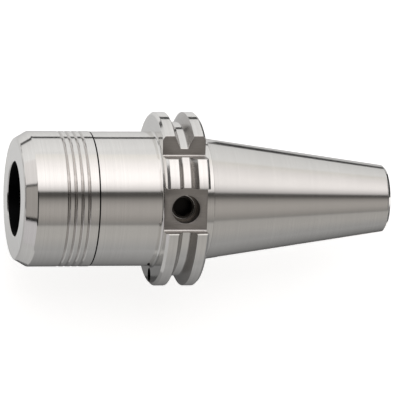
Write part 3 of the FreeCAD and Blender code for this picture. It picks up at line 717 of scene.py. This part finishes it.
def makeWorld():
    world = bpy.data.worlds.new("studio")
    bpy.context.scene.world = world
    world.use_nodes = True
    tree = world.node_tree
    tree.nodes.clear()
    coords = addNode(tree, "ShaderNodeTexCoord")
    parts = addNode(tree, "ShaderNodeSeparateXYZ", links={0: coords.outputs["Generated"]})
    angle = addNode(tree, "ShaderNodeMath", {"operation": "ARCTAN2"},
                    {0: parts.outputs[1], 1: parts.outputs[2]})
    place = addNode(tree, "ShaderNodeMapRange", {1: -math.pi, 2: math.pi, 3: 0.0, 4: 1.0},
                    {0: angle.outputs[0]})
    bands = addNode(tree, "ShaderNodeValToRGB", links={"Fac": place.outputs[0]})
    fillRamp(bands, [(degrees(a), light(v, t)) for a, v, t in mainBands])
    noseCard = addNode(tree, "ShaderNodeValToRGB", links={"Fac": place.outputs[0]})
    fillRamp(noseCard, [(degrees(a), light(v, t)) for a, v, t in noseBands])
    sideways = addNode(tree, "ShaderNodeMapRange", {1: -1.0, 2: 1.0, 3: 0.0, 4: 1.0},
                       {0: parts.outputs[0]})
    towardsNose = addNode(tree, "ShaderNodeMapRange",
                          {1: studio["noseFrom"], 2: studio["noseFull"], 3: 0.0, 4: 1.0},
                          {0: parts.outputs[0]})
    mixed = addNode(tree, "ShaderNodeMix", {"data_type": "RGBA"},
                    {0: towardsNose.outputs[0], 6: bands.outputs["Color"],
                     7: noseCard.outputs["Color"]})
    # dark ends that the grooves mirror, and a dark upright edge beside the nose card
    above = addNode(tree, "ShaderNodeMapRange",
                    {1: math.radians(studio["endsFrom"]), 2: math.radians(studio["endsFull"]),
                     3: 0.0, 4: 1.0},
                    {0: angle.outputs[0]})
    ends = addNode(tree, "ShaderNodeValToRGB", links={"Fac": sideways.outputs[0]})
    fillRamp(ends, [(p, grey(v)) for p, v in endBands])
    darkEnds = addNode(tree, "ShaderNodeMix", {"data_type": "RGBA", "blend_type": "MULTIPLY"},
                       {0: above.outputs[0], 6: mixed.outputs[2], 7: ends.outputs["Color"]})
    edge = addNode(tree, "ShaderNodeValToRGB", links={"Fac": sideways.outputs[0]})
    fillRamp(edge, [(p, grey(v)) for p, v in edgeBands])
    inGap = addNode(tree, "ShaderNodeValToRGB", links={"Fac": place.outputs[0]})
    fillRamp(inGap, [(degrees(a), grey(v)) for a, v in gapBands])
    shaded = addNode(tree, "ShaderNodeMix", {"data_type": "RGBA", "blend_type": "MULTIPLY"},
                     {0: inGap.outputs["Color"], 6: darkEnds.outputs[2], 7: edge.outputs["Color"]})
    shade = addNode(tree, "ShaderNodeBackground", {"Strength": studio["strength"]},
                    {"Color": shaded.outputs[2]})
    addNode(tree, "ShaderNodeOutputWorld", links={"Surface": shade.outputs[0]})


def makeTable():
    bm = bmesh.new()
    bmesh.ops.create_grid(bm, x_segments=8, y_segments=8, size=studio["tableReach"])
    bmesh.ops.translate(bm, vec=(0, 0, floorLevel), verts=bm.verts)
    mat, tree = emptyMaterial("paleTable")
    paint = addNode(tree, "ShaderNodeBsdfDiffuse", {"Color": hexColour(studio["tableColour"])})
    # the glow is for the camera and for mirrored and passed light only
    rays = addNode(tree, "ShaderNodeLightPath")
    seen = addNode(tree, "ShaderNodeMath", {"operation": "MAXIMUM"},
                   {0: rays.outputs["Is Camera Ray"], 1: rays.outputs["Is Glossy Ray"]})
    seenAll = addNode(tree, "ShaderNodeMath", {"operation": "MAXIMUM"},
                      {0: seen.outputs[0], 1: rays.outputs["Is Transmission Ray"]})
    level = addNode(tree, "ShaderNodeMath", {"operation": "MULTIPLY", 1: studio["tableGlow"]},
                    {0: seenAll.outputs[0]})
    glow = addNode(tree, "ShaderNodeEmission", links={"Strength": level.outputs[0]})
    both = addNode(tree, "ShaderNodeAddShader", links={0: paint.outputs[0], 1: glow.outputs[0]})
    addNode(tree, "ShaderNodeOutputMaterial", links={"Surface": both.outputs[0]})
    table = makeObject("table", finishMesh(bm, "table"), [mat])


# Cards: start and end along the axis, near and far across it, brightness far and near, lift
cards = [
    ("lowerCard", -70, 3050, -34, -3050, 0.425, 0.06, 0.3),
    ("noseLowCard", -3050, -70, -10, 0, 0.67, 0.67, 0.3),
    ("noseLowerCard", -3050, -70, -10, -34, 0.50, 0.67, 0.3),
    ("noseSideCard", -210, -70, -34, -3050, 0.60, 0.40, 0.3),
    ("noseFarCard", -3050, -210, -34, -3050, 0.57, 0.44, 0.3),
    ("bodyLowCard", -70, 14, -34, 0, 0.20, 0.20, 0.3),
    ("noseHighCard", -3050, -70, 0, 31, 0.68, 0.68, 0.3),
    ("upperNearCard", -70, 14, 0, 31, 0.60, 0.60, 0.3),
    ("upperMidCard", -3050, 14, 31, 53.5, 1.15, 0.66, 0.3),
    ("upperStrip", -3050, 14, 53.5, 63.0, 0.07, 0.07, 0.3),
    ("upperFarCard", -3050, 14, 63.0, 3050, 0.98, 0.82, 0.3),
    ("taperNearCard", 14, 3050, 0, 33, 0.60, 0.60, 0.3),
    ("taperStrip", 14, 3050, 33, 47, 0.05, 0.05, 0.3),
    ("taperFarCard", 14, 3050, 47, 3050, 0.93, 0.76, 0.3),
    ("flangeRearCard", 98, 340, 0, 53, 0.03, 0.03, 0.6),
]


def makeCard(name, start, end, near, far, farLevel, nearLevel, lift):
    # a card that lies over the table for the steel to mirror, out of the camera's sight
    middle = ((start + end) / 2 * mm, (near + far) / 2 * mm, floorLevel + lift * mm)
    bm = bmesh.new()
    bmesh.ops.create_grid(bm, x_segments=2, y_segments=2, size=0.5)
    bmesh.ops.scale(bm, vec=((end - start) * mm, abs(far - near) * mm, 1), verts=bm.verts)
    bmesh.ops.translate(bm, vec=middle, verts=bm.verts)
    mat, tree = emptyMaterial(name)
    coords = addNode(tree, "ShaderNodeTexCoord")
    parts = addNode(tree, "ShaderNodeSeparateXYZ", links={0: coords.outputs["Object"]})
    nearness = addNode(tree, "ShaderNodeMath", {"operation": "DIVIDE", 0: near * mm},
                       {1: parts.outputs[1]})
    level = addNode(tree, "ShaderNodeMapRange", {1: 0.0, 2: 1.0, 3: farLevel, 4: nearLevel},
                    {0: nearness.outputs[0]})
    glow = addNode(tree, "ShaderNodeEmission", links={"Strength": level.outputs[0]})
    addNode(tree, "ShaderNodeOutputMaterial", links={"Surface": glow.outputs[0]})
    card = makeObject(name, finishMesh(bm, name), [mat])
    card.visible_camera = False
    card.visible_diffuse = False
    card.visible_shadow = False
    card.visible_transmission = False


def makeKey():
    data = bpy.data.lights.new("keyLight", "AREA")
    data.shape = "SQUARE"
    data.size = studio["keySize"]
    data.energy = studio["keyEnergy"]
    lamp = bpy.data.objects.new("keyLight", data)
    bpy.context.scene.collection.objects.link(lamp)
    lamp.location = studio["keyPlace"]
    lamp.rotation_mode = "QUATERNION"
    lamp.rotation_quaternion = (-Vector(studio["keyPlace"])).to_track_quat("-Z", "Y")
    lamp.visible_glossy = False
    lamp.visible_camera = False


makeWorld()
makeTable()
for card in cards:
    makeCard(*card)
makeKey()
print("studio made")


# Camera: a long lens, looking down on the key slot, turned a little towards the nose

view = {   # distance and clip in metres, the rest in millimetres; away and up are its own axes
    "distance": 2.0, "lens": 491.4, "sensor": 36, "clipFrom": 0.1, "clipTo": 20,
    "left": 0.682, "down": 0.5135,
    "away": (-0.2098, 0.1541, 0.9655), "up": (0.0008, 0.9875, -0.1574),
}


def makeCamera(v):
    away = Vector(v["away"]).normalized()
    right = Vector(v["up"]).cross(away).normalized()
    up = away.cross(right)
    target = (-right * v["left"] - up * v["down"]) * mm
    data = bpy.data.cameras.new("camera")
    data.sensor_width = v["sensor"]
    data.lens = v["lens"]
    data.clip_start = v["clipFrom"]
    data.clip_end = v["clipTo"]
    camera = bpy.data.objects.new("camera", data)
    bpy.context.scene.collection.objects.link(camera)
    place = Matrix((right, up, away)).transposed().to_4x4()
    place.translation = target + away * v["distance"]
    camera.matrix_world = place
    bpy.context.scene.camera = camera


makeCamera(view)
bpy.context.scene.view_settings.view_transform = "Standard"
